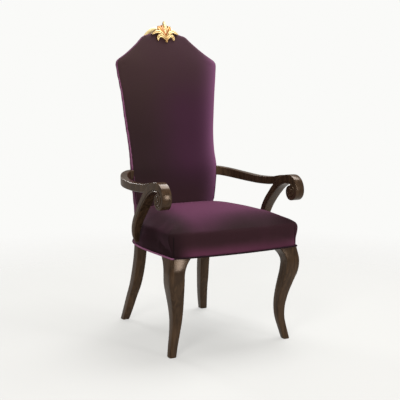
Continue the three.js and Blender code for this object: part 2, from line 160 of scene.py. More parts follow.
def rgb(red, green, blue):
    """A colour as a screen shows it, from 0 to 255, made linear."""
    return (*(((c / 255 + 0.055) / 1.055) ** 2.4 if c > 10 else c / 3295 for c in (red, green, blue)), 1)


scene = bpy.context.scene
scene.view_settings.view_transform = "Standard"
camera = bpy.data.objects.new("camera", bpy.data.cameras.new("camera"))
camera.location = placed(CAMERA_PLACE)
camera.rotation_euler = (np.pi / 2 - CAMERA_DIP, 0, -CAMERA_TURN)
camera.data.lens = CAMERA_LENS
camera.data.sensor_width = 36
scene.collection.objects.link(camera)
scene.camera = camera

FLOOR_HALF = 6
floor = from_points("floor", [(-FLOOR_HALF, -FLOOR_HALF, 0), (FLOOR_HALF, -FLOOR_HALF, 0),
                              (FLOOR_HALF, FLOOR_HALF, 0), (-FLOOR_HALF, FLOOR_HALF, 0)], [(0, 1, 2, 3)])
white_floor = Finish("white_floor", Roughness=0.6, Specular_IOR_Level=0.2)
across, deep = white_floor.along("X"), white_floor.along("Y")
distance = (across * across + deep * deep) ** 0.5
white_floor.paint(Base_Color=rgb(209, 209, 207), Alpha=0.5 - 0.5 * distance.rise(0.9, 2.6))
floor.data.materials.append(white_floor.material)

world = bpy.data.worlds.new("surround")
world.use_nodes = True
surround = world.node_tree
seen = surround.nodes.new("ShaderNodeBackground")
seen.inputs["Color"].default_value = rgb(250, 250, 248)
lighting = surround.nodes["Background"]
lighting.inputs["Color"].default_value = (1, 0.94, 0.87, 1)
lighting.inputs["Strength"].default_value = 0.34
ray = surround.nodes.new("ShaderNodeLightPath")
either = surround.nodes.new("ShaderNodeMixShader")
surround.links.new(ray.outputs["Is Camera Ray"], either.inputs[0])
surround.links.new(lighting.outputs[0], either.inputs[1])
surround.links.new(seen.outputs[0], either.inputs[2])
surround.links.new(either.outputs[0], surround.nodes["World Output"].inputs[0])
scene.world = world

# Each light: where it hangs, its width and height, its power and its tint, all aimed at the seat
LIGHTS = {
    "overhead": ((1.0, 0.3, 3.2), (2.0, 2.0), 98, (1.0, 1.0, 1.0)),
    "key": ((-2.4, -2.4, 2.6), (1.15, 1.15), 60, (1.0, 0.97, 0.94)),
    "front": ((1.1, -3.0, 1.15), (0.5, 1.3), 30, (1.0, 0.98, 0.96)),
    "behind": ((-0.66, 3.2, 2.3), (0.9, 0.9), 34, (1.0, 1.0, 1.0)),
}
for name, (place, (width, height), power, tint) in LIGHTS.items():
    light = bpy.data.objects.new(name, bpy.data.lights.new(name, "AREA"))
    light.data.shape = "RECTANGLE"
    light.data.size, light.data.size_y = width, height
    light.data.energy = power
    light.data.color = tint
    light.visible_camera = False
    light.location = place
    light.rotation_euler = (Vector((0, 0, 0.6)) - Vector(place)).to_track_quat("-Z", "Y").to_euler()
    scene.collection.objects.link(light)


# Front legs: solid hardwood, sawn to a forward S, square in section, with the outer ridge
# rounded over and two ears flaring along the seat's underside. Stained near black and
# lacquered to a satin gloss.
FRONT_LEG = [   # height, centre across, centre in depth, width
    (-FOOT_DROP, 248, -0.5, 26.5), (35, 239.5, 7, 28.5), (83, 229, 13, 32), (130, 225.5, 10.5, 37),
    (179, 229.5, 2.5, 43.5), (227, 238, -8.5, 51), (276, 247, -20.5, 58), (310, 248.5, -24, 58.5),
    (365, 241, -15.5, 57),
]
LEG_TOP = 364.7
FOOT_EASE = 1.2        # mm of height over which the foot's edge is taken off
FOOT_SLOPE = 1.2       # mm inwards for each of those
EAR_START = 298
EAR_REACH = 24


def through(stations, key):
    """Smooth values between stations, each of which is a key followed by its values."""
    table = np.asarray(stations, float)
    slopes = np.gradient(table[:, 1:], table[:, 0], axis=0, edge_order=1)
    i = int(np.clip(np.searchsorted(table[:, 0], key) - 1, 0, len(table) - 2))
    span = table[i + 1, 0] - table[i, 0]
    u = np.clip((key - table[i, 0]) / span, 0, 1)
    blend = table[i, 1:] + (table[i + 1, 1:] - table[i, 1:]) * u * u * (3 - 2 * u)
    return blend + span * (u * (1 - u) ** 2 * slopes[i] - u * u * (1 - u) * slopes[i + 1])


def rounded_square(x0, x1, y0, y1, radii, steps=6):
    """Its outline from above, each corner with a radius of its own, low corner first."""
    corners = [(x0, y0, 1, 1, 180), (x1, y0, -1, 1, 270), (x1, y1, -1, -1, 0), (x0, y1, 1, -1, 90)]
    ring = []
    for (x, y, right, up, start), radius in zip(corners, radii):
        turn = np.radians(start + np.linspace(0, 90, steps))
        ring += list(zip(x + radius * (right + np.cos(turn)), y + radius * (up + np.sin(turn))))
    return np.array(ring)


def skin(name, rings, mirror=False):
    """A closed body through rings of points in millimetres; its ends are filled."""
    rings = [np.asarray(r, float) * ((-1, 1, 1) if mirror else (1, 1, 1)) for r in rings]
    size = len(rings[0])
    faces = [(r * size + i, r * size + (i + 1) % size, (r + 1) * size + (i + 1) % size, (r + 1) * size + i)
             for r in range(len(rings) - 1) for i in range(size)]
    faces.append(tuple(range(size))[::-1])
    faces.append(tuple((len(rings) - 1) * size + i for i in range(size)))
    piece = from_points(name, placed(np.concatenate(rings)), faces)
    outward(piece)
    return piece


def outward(piece):
    """Merge doubles, turn every face outwards and shade smoothly across soft edges."""
    form = bmesh.new()
    form.from_mesh(piece.data)
    bmesh.ops.remove_doubles(form, verts=form.verts, dist=1e-5)
    bmesh.ops.recalc_face_normals(form, faces=form.faces)
    for edge in form.edges:
        edge.smooth = len(edge.link_faces) != 2 or edge.calc_face_angle(0) < 0.7
    for face in form.faces:
        face.smooth = True
    form.to_mesh(piece.data)
    form.free()


def finished(piece, material, slot, *nodes):
    """The piece rides with the throne, in its finish, and stands for those solids."""
    piece.data.materials.clear()
    piece.data.materials.append(material)
    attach(piece, "root")
    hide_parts(*nodes)
    return piece


def espresso(name, grain_turn):
    """Espresso stain on close-grained hardwood, rubbed thin on its edges, under satin lacquer."""
    wood = Finish(name, Coat_Weight=0.03, Coat_Roughness=0.08, Specular_IOR_Level=0.38,
                  Specular_Tint=rgb(255, 226, 200))
    bands = wood.noise(9, 5, 0.6, 1.2, stretch=(6, 6, 0.9), turn=grain_turn)
    pores = wood.noise(260, 2, 0.7, stretch=(1, 1, 0.06), turn=grain_turn)
    cloud = wood.noise(5, 3)
    ridge = wood.add("ShaderNodeNewGeometry", {}, {}, "Pointiness").rise(0.52, 0.6)
    stain = wood.mix(bands.rise(0.35, 0.7), rgb(50, 37, 27), rgb(75, 57, 41))
    stain = wood.mix(pores.rise(0.62, 0.75) * 0.5, stain, rgb(24, 18, 13))
    stain = wood.mix(ridge * 0.4, stain, rgb(104, 82, 62))
    wood.paint(Base_Color=stain, Roughness=0.16 + 0.08 * cloud + 0.06 * pores.rise(0.55, 0.8),
               Normal=wood.bump(pores * 0.6 + bands * 0.5, 0.05, 0.0004))
    return wood.material


def half_leg(width, height):
    """Half a leg's width, with its edge taken off where it meets the floor."""
    return width / 2 - max(0, FOOT_EASE - (height + FOOT_DROP)) * FOOT_SLOPE


upright_grain = espresso("espresso_upright", (0, 0, 0))
front_heights = np.concatenate([[-FOOT_DROP, -1.5], np.linspace(2, LEG_TOP, 74)])
for hand, mirror in (("left", False), ("right", True)):
    rings = []
    for z in front_heights:
        x, y, width = through(FRONT_LEG, z)
        half = half_leg(width, z)
        flare = np.clip((z - EAR_START) / (LEG_TOP - EAR_START), 0, 1)
        ear = EAR_REACH * flare ** 2.4
        section = rounded_square(x - half - ear, x + half, y - half, y + half + ear,
                                 (3.5, width * 0.2, 3.5, width * 0.2))
        rings.append(np.column_stack([section, np.full(len(section), z)]))
    leg = skin(f"front_leg_{hand}_wood", rings, mirror)
    finished(leg, upright_grain, "wood", f"front_leg_{hand}")


# Rear legs: square sabre legs of the same wood, swept backwards and a little outwards, their
# edges eased with a block plane.
REAR_LEG = [   # height, centre across, centre in depth, width
    (-FOOT_DROP, 187.5, 555, 29.5), (50, 177, 539, 33.5), (100, 168.5, 524, 36),
    (150, 160.5, 506, 39), (220, 153.5, 489, 41), (290, 151, 474, 41), (365, 151, 466, 41),
]
rear_heights = np.concatenate([[-FOOT_DROP, -1.5], np.linspace(2, LEG_TOP, 60)])
for hand, mirror in (("left", False), ("right", True)):
    rings = []
    for z in rear_heights:
        x, y, width = through(REAR_LEG, z)
        half = half_leg(width, z)
        section = rounded_square(x - half, x + half, y - half, y + half, [4.2] * 4)
        rings.append(np.column_stack([section, np.full(len(section), z)]))
    leg = skin(f"rear_leg_{hand}_wood", rings, mirror)
    finished(leg, upright_grain, "wood", f"rear_leg_{hand}")


# Arm supports: one thick board each, band-sawn to an S that curls into a scroll under the
# hand. A bead is carved along the front edge on both faces and winds into the scroll's eye.
BOARD_FACES = [   # height, inner face, outer face
    (380, 274, 284), (400, 273.8, 293), (435, 273.8, 298), (475, 268, 299.5), (520, 262.5, 300),
    (560, 263, 300), (640, 264, 300),
]
SUPPORT_FRONT = [   # depth, height, from the foot up to the scroll
    (216, 388), (208, 417), (200, 440), (178, 484), (148, 521), (115, 553), (78, 582), (48, 595.5),
    (18, 600.5), (4, 599),
]
SUPPORT_REAR = [   # and down again behind the scroll
    (38, 632.5), (58, 628), (80, 617), (103, 602), (126, 583.5), (149, 560), (171, 536), (190, 513),
    (207, 491), (220, 470), (229, 447), (232, 427), (229, 408), (223, 391),
]
SCROLL_CENTRE = (17, 577)
SCROLL_ARCS = (57, 40, 32, 25)
BEAD_CENTRE = (7, 575)
BEAD_ARCS = (26.5, 22, 17.5, 13, 9.5, 6.5)
BEAD_RADIUS = 2.3
BEAD_INSET = 2.6
BEAD_SUNK = 0.6
GROOVE_RADIUS = 2.0
GROOVE_INSET = 4.1        # mm that the groove lies beyond the bead
BOARD_INNER = 264         # the sawn board's faces, before they are shaved to BOARD_FACES
BOARD_OUTER = 300


def curved(points, count):
    """Evenly spaced points on a smooth curve through the given ones."""
    points = np.asarray(points, float)
    way = np.concatenate([[0], np.cumsum(np.linalg.norm(np.diff(points, axis=0), axis=1))])
    table = np.column_stack([way, points])
    return np.array([through(table, w) for w in np.linspace(0, way[-1], count)])


def quarter_arcs(centre, radii, first, steps):
    """Quarter arcs, each tangent to the last, starting at a quarter turn."""
    centre = np.array(centre, float)
    points = []
    for i, radius in enumerate(radii):
        turn = np.pi / 2 * (first + i + np.linspace(0, 1, steps + 1))
        arc = centre + radius * np.column_stack([np.cos(turn), np.sin(turn)])
        points.append(arc if i == 0 else arc[1:])
        if i + 1 < len(radii):
            centre = centre + (radius - radii[i + 1]) * np.array([np.cos(turn[-1]), np.sin(turn[-1])])
    return np.concatenate(points)


def applied(piece):
    """The piece's mesh with its modifiers made real."""
    bpy.context.view_layer.update()
    real = bpy.data.meshes.new_from_object(piece.evaluated_get(bpy.context.evaluated_depsgraph_get()))
    piece.modifiers.clear()
    piece.data = real
    return piece


def coordinates(piece):
    spots = np.zeros(len(piece.data.vertices) * 3)
    piece.data.vertices.foreach_get("co", spots)
    return spots.reshape(-1, 3)


def reshape(piece, spots):
    piece.data.vertices.foreach_set("co", np.asarray(spots, float).ravel())
    piece.data.update()


def cord_rings(line, radius, normal, steps=10):
    """Round sections along a line that lies in a plane with that normal."""
    line = np.asarray(line, float)
    ahead = np.gradient(line, axis=0)
    ahead /= np.linalg.norm(ahead, axis=1)[:, None]
    side = np.cross(ahead, normal)
    side /= np.linalg.norm(side, axis=1)[:, None]
    rise = np.cross(side, ahead)
    turn = np.linspace(0, 2 * np.pi, steps, endpoint=False)
    return [p + radius * (np.outer(np.cos(turn), s) + np.outer(np.sin(turn), r))
            for p, s, r in zip(line, side, rise)]


def side_line(flat, x):
    """A line drawn in depth and height, laid in the plane at x."""
    return np.column_stack([np.full(len(flat), x), flat])


coil = quarter_arcs(SCROLL_CENTRE, SCROLL_ARCS, 1, 14)
board_outline = np.concatenate([curved(SUPPORT_FRONT, 64), coil[::-1], curved(SUPPORT_REAR, 70)])
front_edge = curved(SUPPORT_FRONT, 60)
lean = np.gradient(front_edge, axis=0)
lean /= np.linalg.norm(lean, axis=1)[:, None]
arm_grain = espresso("espresso_arm", (0.7, 0, 0))


def arm_support(name, mirror):
    sides = [side_line(board_outline, x) for x in (BOARD_INNER, BOARD_OUTER)]
    count = len(board_outline)
    faces = [tuple(range(count)), tuple(range(count, 2 * count))[::-1]]
    faces += [(i, count + i, count + (i + 1) % count, (i + 1) % count) for i in range(count)]
    board = from_points(name, placed(np.concatenate(sides)), faces)
    outward(board)
    eased = board.modifiers.new("eased", "BEVEL")
    eased.width = 0.0022
    eased.segments = 4
    eased.limit_method = "ANGLE"
    eased.angle_limit = 0.9
    for x, out in ((BOARD_INNER, -1), (BOARD_OUTER, 1)):
        for label, radius, inset, operation in (("groove", GROOVE_RADIUS, GROOVE_INSET, "DIFFERENCE"),
                                                ("bead", BEAD_RADIUS, 0, "UNION")):
            line = np.concatenate([
                front_edge[:-6] + (BEAD_INSET + inset) * np.column_stack([lean[:, 1], -lean[:, 0]])[:-6],
                quarter_arcs(BEAD_CENTRE, [arc + inset for arc in BEAD_ARCS], 1, 12)])
            tool = skin(f"{label}_tool", cord_rings(side_line(line, x - BEAD_SUNK * out), radius, (1, 0, 0)))
            cut = board.modifiers.new(label, "BOOLEAN")
            cut.operation = operation
            cut.solver = "EXACT"
            cut.object = tool
            applied(board)
            bpy.data.objects.remove(tool)
    spots = coordinates(board)
    heights = spots[:, 2] * 1000 - FOOT_DROP
    faces_at = np.array([through(BOARD_FACES, z) for z in heights])
    share = (spots[:, 0] * 1000 - BOARD_INNER) / (BOARD_OUTER - BOARD_INNER)
    spots[:, 0] = (faces_at[:, 0] + share * (faces_at[:, 1] - faces_at[:, 0])) / 1000
    if mirror:
        spots[:, 0] *= -1
    reshape(board, spots)
    outward(board)
    return board


for hand, mirror in (("left", False), ("right", True)):
    board = arm_support(f"arm_support_{hand}_wood", mirror)
    finished(board, arm_grain, "wood", f"arm_support_{hand}")


# Arm rails: square-sectioned rails that leave the supports level, sweep round the sitter and
# rise to the back posts, where they are screwed through the upholstery.
RAIL_PATH = [   # across, depth, height
    (278.5, 84, 611), (278.4, 132, 602), (278, 200, 597), (277.5, 250, 596), (275, 300, 598),
    (269.5, 343, 601.5), (259.5, 380, 606), (246, 411, 611), (228.5, 436, 616), (208, 452, 620),
    (186, 458.5, 622),
]
RAIL_WIDTH = 28.4
RAIL_HEIGHT = 31
RAIL_DEEPER = 7     # mm that the underside drops towards the back
RAIL_EASE = 3.2
rail_grain = espresso("espresso_rail", (np.pi / 2, 0, 0))
rail_line = curved(RAIL_PATH, 90)
for hand, mirror in (("left", False), ("right", True)):
    ahead = np.gradient(rail_line, axis=0)
    side = np.column_stack([ahead[:, 1], -ahead[:, 0], np.zeros(len(ahead))])
    side /= np.linalg.norm(side, axis=1)[:, None]
    rings = []
    for share, middle, out in zip(np.linspace(0, 1, len(side)), rail_line, side):
        underside = -RAIL_HEIGHT / 2 - RAIL_DEEPER * through([(0.45, 0), (1, 1)], share)[0]
        section = rounded_square(-RAIL_WIDTH / 2, RAIL_WIDTH / 2, underside, RAIL_HEIGHT / 2, [RAIL_EASE] * 4)
        rings.append(middle + np.outer(section[:, 0], out) + np.outer(section[:, 1], (0, 0, 1)))
    rail = skin(f"arm_rail_{hand}_wood", rings, mirror)
    finished(rail, rail_grain, "wood", f"arm_rail_{hand}")


# Seat: webbing, springs and foam on a wooden frame, under one velvet cover that is pulled
# tight over a high crown, sewn at its front corners and tacked under the frame.
SEAT_BOTTOM = 365
SEAT_EDGE = 453
SEAT_CROWN = 510
SEAT_HALF_WIDTH = 267
SEAT_FRONT = 44
SEAT_BOW = 22
SEAT_CORNER_RADIUS = 9
SEAT_REAR = 436.3
BORDER_START = 369       # height at which the boxed border leaves the frame
BORDER_INSET = 1.5
BORDER_BELLY = 2
SEAT_SIDE = [   # depth, half width behind the front corners
    (-28, 267), (60, 270), (130, 272), (205, 269.5), (283, 260), (350, 238), (400, 208), (437, 178),
]
COVER_SWELL = 7          # mm that the filling pushes the cover out, at most
COVER_VOXEL = 0.006
CORNER_STUFFING = (15, 4)    # mm outwards and up that the filling is packed into the front corners


def directions(piece):
    """The way each vertex faces."""
    ways = np.zeros(len(piece.data.vertices) * 3)
    piece.data.vertices.foreach_get("normal", ways)
    return ways.reshape(-1, 3)


def marked(piece, **marks):
    """Give each vertex its values, for the finish to read."""
    for name, values in marks.items():
        piece.data.attributes.new(name, "FLOAT", "POINT").data.foreach_set("value", np.asarray(values, float))


def whole_outline(half):
    """Both halves of a symmetrical outline, given from the middle round to the middle."""
    half = np.asarray(half, float)
    return np.concatenate([half, half[-2:0:-1] * (-1, 1)])


def inset(outline, distance):
    """A closed outline moved inwards, each corner along the bisector of its edges."""
    before = outline - np.roll(outline, 1, axis=0)
    after = np.roll(outline, -1, axis=0) - outline
    before /= np.linalg.norm(before, axis=1)[:, None]
    after /= np.linalg.norm(after, axis=1)[:, None]
    inward = np.column_stack([-before[:, 1] - after[:, 1], before[:, 0] + after[:, 0]])
    inward /= np.linalg.norm(inward, axis=1)[:, None]
    spread = np.maximum(0.6, inward[:, 1] * after[:, 0] - inward[:, 0] * after[:, 1])
    return outline + inward * (np.broadcast_to(distance, spread.shape) / spread)[:, None]


def smooth_step(value, low, high):
    u = np.clip((value - low) / (high - low), 0, 1)
    return u * u * (3 - 2 * u)


def evened(piece, values, rounds):
    """Each vertex's value averaged with those of its neighbours, some rounds over."""
    ends = np.zeros(len(piece.data.edges) * 2, int)
    piece.data.edges.foreach_get("vertices", ends)
    one, other = np.concatenate([ends.reshape(-1, 2), ends.reshape(-1, 2)[:, ::-1]]).T
    near = np.bincount(one, minlength=len(values))[:, None]
    for _ in range(rounds):
        around = np.column_stack([np.bincount(one, column[other], len(values)) for column in values.T])
        values = 0.5 * values + 0.5 * around / near
    return values


def swollen(pad, sewn, slack, cap):
    """Even out a pad's mesh, let its cover swell where it is not sewn or tacked down, and draw
    it smooth over the filling where it is slack."""
    even = pad.modifiers.new("even", "REMESH")
    even.mode = "VOXEL"
    even.voxel_size = COVER_VOXEL
    applied(pad)
    start = coordinates(pad)
    held = pad.vertex_groups.new(name="sewn")
    for index in np.flatnonzero(sewn(start)):
        held.add([int(index)], 1, "REPLACE")
    cover = pad.modifiers.new("cover", "CLOTH")
    cover.settings.quality = 4
    cover.settings.mass = 0.3
    cover.settings.vertex_group_mass = "sewn"
    cover.settings.use_pressure = True
    cover.settings.uniform_pressure_force = 4
    cover.settings.effector_weights.gravity = 0
    cover.point_cache.frame_end = 20
    for step in range(1, 21):
        scene.frame_set(step)
    applied(pad)
    scene.frame_set(1)
    pad.vertex_groups.clear()
    moved = evened(pad, coordinates(pad) - start, 8)
    reach = np.linalg.norm(moved, axis=1)[:, None]
    reshape(pad, start + moved * np.minimum(1, cap / 1000 / np.maximum(reach, 1e-9)))
    start = coordinates(pad)
    reshape(pad, start + (evened(pad, start, 60) - start) * slack(start)[:, None])
    finer = pad.modifiers.new("finer", "SUBSURF")
    finer.levels = finer.render_levels = 1
    applied(pad)
    outward(pad)
    for polygon in pad.data.polygons:
        polygon.use_smooth = True


def velvet(name, dye, sheen=0.35):
    """Cotton velvet: near black down into the pile, with purple painted sheen and painted shade from its
    colouring, and brushed patches and streaks at random.
    """
    cloth = Finish(name, Roughness=0.8, Specular_IOR_Level=0.1, Sheen_Weight=sheen,
                   Sheen_Roughness=0.3, Sheen_Tint=rgb(205, 125, 172))
    brushed = cloth.noise(4.2, 3, 0.55, 0.6, stretch=(1, 1, 0.7))
    pile = cloth.noise(900, 2, 0.6)
    streaks = cloth.noise(34, 3, 0.6, 0.4, stretch=(1, 1, 0.25))
    colour, sunk = dye(cloth, (brushed - 0.5) * 0.4 + (streaks - 0.5) * 0.16)
    colour = cloth.mix(pile.rise(0.5, 0.8) * 0.3, colour, rgb(22, 14, 16))
    cloth.paint(Base_Color=colour, Normal=cloth.bump(pile + streaks * 0.8 - sunk, 0.15, 0.0006))
    return cloth.material


def seat_dye(cloth, ruffle):
    """Painted sheen in purple on the crown, along the skirt and at the throne's left end; painted shade, near
    black, on the throne's right side and over the top; dark seams at the front corners.
    """
    across, deep, height = (cloth.along(axis) for axis in "XYZ")
    seam = across.maths("ABSOLUTE", across) - 0.2585
    seam = 1 - seam.maths("ABSOLUTE", seam).rise(0.001, 0.0035)
    seam = seam * (1 - deep.rise(-0.285, -0.275)) * (1 - height.rise(0.44, 0.455))
    # Painted shade: darker on the throne's right side and over the top.
    shaded = cloth.mix(cloth.mark("turned"), rgb(51, 29, 35), rgb(32, 16, 20))
    # The painted sheen's colour, lighter on the skirt than on the crown.
    bloom = cloth.mix(height.rise(0.42, 0.48), rgb(100, 53, 77), rgb(79, 40, 64))
    # Painted sheen mixed in where the seat is marked for it, broken up by brushed patches at random.
    colour = cloth.mix((cloth.mark("nap") + ruffle * 0.6).rise(0, 1, "LINEAR"), shaded, bloom)
    return cloth.mix(seam * 0.75, colour, rgb(14, 7, 8)), seam * 3


front = np.linspace(0, SEAT_HALF_WIDTH - SEAT_CORNER_RADIUS, 40)
turn = np.radians(np.linspace(-80, 0, 7))
side_depth = np.linspace(-SEAT_FRONT + SEAT_CORNER_RADIUS + 2, SEAT_REAR, 60)
rear = np.linspace(174, 0, 24)
seat_half = np.concatenate([
    np.column_stack([front, -SEAT_FRONT - SEAT_BOW * (1 - (front / SEAT_HALF_WIDTH) ** 2)]),
    np.column_stack([SEAT_HALF_WIDTH - SEAT_CORNER_RADIUS * (1 - np.cos(turn)),
                     -SEAT_FRONT + SEAT_CORNER_RADIUS * (1 + np.sin(turn)) - 2]),
    np.column_stack([[through(SEAT_SIDE, y)[0] for y in side_depth], side_depth]),
    np.column_stack([rear, np.full(len(rear), SEAT_REAR)])])
seat_outline = whole_outline(seat_half)
near_corner = (smooth_step(np.abs(seat_outline[:, 0]), 205, SEAT_HALF_WIDTH)
               * smooth_step(-seat_outline[:, 1], -50, SEAT_FRONT))
seat_edge = (SEAT_EDGE - 5 * near_corner
             + 23 * smooth_step(seat_outline[:, 1], 260, SEAT_REAR))


def seat_ring(outline, height):
    outline = np.column_stack([outline[:, 0], np.minimum(outline[:, 1], SEAT_REAR)])
    return np.column_stack([outline, np.broadcast_to(height, len(outline))])


seat_rings = [seat_ring(inset(seat_outline, distance), SEAT_BOTTOM) for distance in (60, BORDER_INSET)]
for share in np.linspace(0, 1, 12):
    height = BORDER_START + (seat_edge - 5 - BORDER_START) * share
    belly = BORDER_BELLY * np.sin(np.pi * share)
    seat_rings.append(seat_ring(inset(seat_outline, BORDER_INSET - belly), height))
crown_middle = np.array([0, 190])
for share in (0.014, 0.035, 0.06, 0.09, 0.13, 0.18, 0.25, 0.34, 0.44, 0.56, 0.7, 0.85, 0.96):
    fill = 1 - (1 - share) ** 4.4
    outline = seat_outline + (crown_middle - seat_outline) * share
    for _ in range(int(260 * share)):
        outline = 0.5 * outline + 0.25 * (np.roll(outline, 1, axis=0) + np.roll(outline, -1, axis=0))
    seat_rings.append(seat_ring(outline, seat_edge + (SEAT_CROWN - COVER_SWELL - seat_edge) * fill))
seat = skin("seat_velvet", seat_rings)


def seat_sewn(spots):
    """The cover is tacked under the frame and behind."""
    height, depth = spots[:, 2] * 1000 - FOOT_DROP, spots[:, 1] * 1000 + FEET_BEFORE_MIDDLE
    return (height < 376) | (depth > 428)


swollen(seat, seat_sewn, lambda spots: smooth_step(spots[:, 2], 0.464, 0.492), COVER_SWELL)
spots = coordinates(seat)
across, deep, height = spots.T * 1000 + np.array([[0], [FEET_BEFORE_MIDDLE], [-FOOT_DROP]])
corner = smooth_step(np.abs(across), 150, 262) * smooth_step(-deep, -110, 30) * smooth_step(height, 372, 440)
spots[:, 0] += np.sign(across) * corner * CORNER_STUFFING[0] / 1000
spots[:, 2] += corner * smooth_step(height, 425, 455) * CORNER_STUFFING[1] / 1000
reshape(seat, spots)
# Painted sheen and painted shade for the cover, from where each point lies and which way it faces.
facing = directions(seat)
up = smooth_step(facing[:, 2], 0.3, 0.8)
left = 0.25 * np.maximum(deep - 100, 0)
nearer = 55 * (1 - smooth_step(across, -150, 60))
# Painted sheen on the faces of the crown that look up.
crown = (smooth_step(deep + nearer, -42, 90) * smooth_step(across - left, -225, -140)
         * (1 - 0.3 * smooth_step(across, 40, 230)) * (1 - 0.4 * smooth_step(deep, 255, 330)) * up)
# Painted sheen along the front of the skirt, low down.
skirt = ((1 - smooth_step(height, 366, 412)) * smooth_step(across, -250, -175)
         * (1 - 0.35 * smooth_step(across, -120, 150)) * smooth_step(-facing[:, 1], 0.3, 0.7))
# Painted sheen at the throne's left end, below the crown's edge.
end = 0.25 * smooth_step(across, 225, 272) * smooth_step(-height, -455, -400)
# Painted shade on faces towards the throne's right, on faces that look up, and at the throne's right end.
turned = np.maximum.reduce([smooth_step(-facing[:, 0], 0.25, 0.8) * (1 - up), 0.7 * up,
                            0.9 * smooth_step(-across, 190, 255)])
nap, turned = evened(seat, np.column_stack([np.maximum(crown, skirt) + end, turned]), 12).T
marked(seat, nap=nap, turned=turned)
finished(seat, velvet("seat_velvet", seat_dye), "velvet", "seat_cushion")


# Welts: cord wrapped in a bias strip of the same velvet, sewn in round the seat's lower edge
# and round the face of the back.
WELT_RADIUS = 3.1
WELT_PROUD = 0.9
BACK_WELT_RADIUS = 2.2
BACK_WELT_DEPTH = 5.5    # mm behind the front edge of the back


def node_tree_for_cord():
    """Geometry nodes that lay a round cord along a curve."""
    tree = bpy.data.node_groups.new("cord_along_line", "GeometryNodeTree")
    tree.interface.new_socket("Line", in_out="INPUT", socket_type="NodeSocketGeometry")
    tree.interface.new_socket("Radius", in_out="INPUT", socket_type="NodeSocketFloat")
    tree.interface.new_socket("Sides", in_out="INPUT", socket_type="NodeSocketInt")
    tree.interface.new_socket("Cloth", in_out="INPUT", socket_type="NodeSocketMaterial")
    tree.interface.new_socket("Cord", in_out="OUTPUT", socket_type="NodeSocketGeometry")
    source = tree.nodes.new("NodeGroupInput")
    circle = tree.nodes.new("GeometryNodeCurvePrimitiveCircle")
    sweep = tree.nodes.new("GeometryNodeCurveToMesh")
    smooth = tree.nodes.new("GeometryNodeSetShadeSmooth")
    real = tree.nodes.new("GeometryNodeRealizeInstances")
    cloth = tree.nodes.new("GeometryNodeSetMaterial")
    result = tree.nodes.new("NodeGroupOutput")
    sweep.inputs["Fill Caps"].default_value = True
    for start, end in (
            (source.outputs["Radius"], circle.inputs["Radius"]),
            (source.outputs["Sides"], circle.inputs["Resolution"]),
            (source.outputs["Line"], sweep.inputs["Curve"]),
            (circle.outputs["Curve"], sweep.inputs["Profile Curve"]),
            (sweep.outputs["Mesh"], smooth.inputs["Geometry"]),
            (smooth.outputs["Geometry"], real.inputs["Geometry"]),
            (real.outputs["Geometry"], cloth.inputs["Geometry"]),
            (source.outputs["Cloth"], cloth.inputs["Material"]),
            (cloth.outputs["Geometry"], result.inputs["Cord"])):
        tree.links.new(start, end)
    return tree


cord_tree = node_tree_for_cord()


def sewn_cord(name, line, radius, material, slot, *nodes):
    """A round cord along a line in millimetres."""
    curve = bpy.data.curves.new(f"{name}_line", "CURVE")
    curve.dimensions = "3D"
    spline = curve.splines.new("POLY")
    spots = placed(line)
    spline.points.add(len(spots) - 1)
    for point, spot in zip(spline.points, spots):
        point.co = (*spot, 1)
    guide = bpy.data.objects.new(f"{name}_line", curve)
    scene.collection.objects.link(guide)
    lay = guide.modifiers.new("cord", "NODES")
    lay.node_group = cord_tree
    inputs = {item.name: item.identifier for item in cord_tree.interface.items_tree}
    for key, value in (("Radius", radius / 1000), ("Sides", 12), ("Cloth", material)):
        lay[inputs[key]] = value
    bpy.context.view_layer.update()
    mesh = bpy.data.meshes.new_from_object(guide.evaluated_get(bpy.context.evaluated_depsgraph_get()))
    cord = bpy.data.objects.new(name, mesh)
    scene.collection.objects.link(cord)
    bpy.data.objects.remove(guide)
    outward(cord)
    return finished(cord, material, slot, *nodes)


def seat_welt_dye(cloth, ruffle):
    """Painted sheen where it runs back along the throne's right side, and painted shadow, near black, along
    the front.
    """
    return cloth.mix(cloth.along("X").rise(-0.268, -0.258), rgb(150, 96, 132), rgb(30, 17, 22)), 0


def back_welt_dye(cloth, ruffle):
    """Painted sheen up both edges of the back, weaker over the top, and painted shade below the rails."""
    light = cloth.along("Z").rise(0.61, 0.67) * (1 - 0.5 * cloth.along("Z").rise(0.98, 1.08))
    return cloth.mix(light, rgb(48, 29, 38), rgb(150, 96, 132)), 0


seat_welt_line = inset(seat_outline, -WELT_PROUD)
seat_welt_line = np.roll(seat_welt_line, len(seat_welt_line) // 2, axis=0)
seat_welt_line = seat_welt_line[seat_welt_line[:, 1] < SEAT_REAR - WELT_RADIUS]
sewn_cord("seat_welt_cord",
          np.column_stack([seat_welt_line, np.full(len(seat_welt_line), SEAT_BOTTOM + WELT_RADIUS)]),
          WELT_RADIUS, velvet("seat_welt_velvet", seat_welt_dye, 0.5), "welt", "seat_welt")


# Dust cover: a thin black cloth stapled to the underside of the seat frame.
LINING_THICKNESS = 1.6
LINING_HALF = [
    (0, -52), (165, -46), (165, 48), (252, 48), (252, 210), (240, 290), (205, 380), (125, 380),
    (125, 428), (0, 428),
]
lining_outline = whole_outline(LINING_HALF)
lining_top = SEAT_BOTTOM - 0.35
lining = skin("dust_cover_cloth", [
    np.column_stack([lining_outline, np.full(len(lining_outline), lining_top)]),
    np.column_stack([lining_outline, np.full(len(lining_outline), lining_top - LINING_THICKNESS)])])
black_cloth = Finish("dust_cloth", Roughness=0.95)
threads = black_cloth.noise(700, 2, 0.5)
black_cloth.paint(Base_Color=black_cloth.mix(threads, rgb(16, 15, 15), rgb(38, 36, 36)),
                  Normal=black_cloth.bump(threads, 0.3, 0.0004))
finished(lining, black_cloth.material, "lining", "seat_lining")
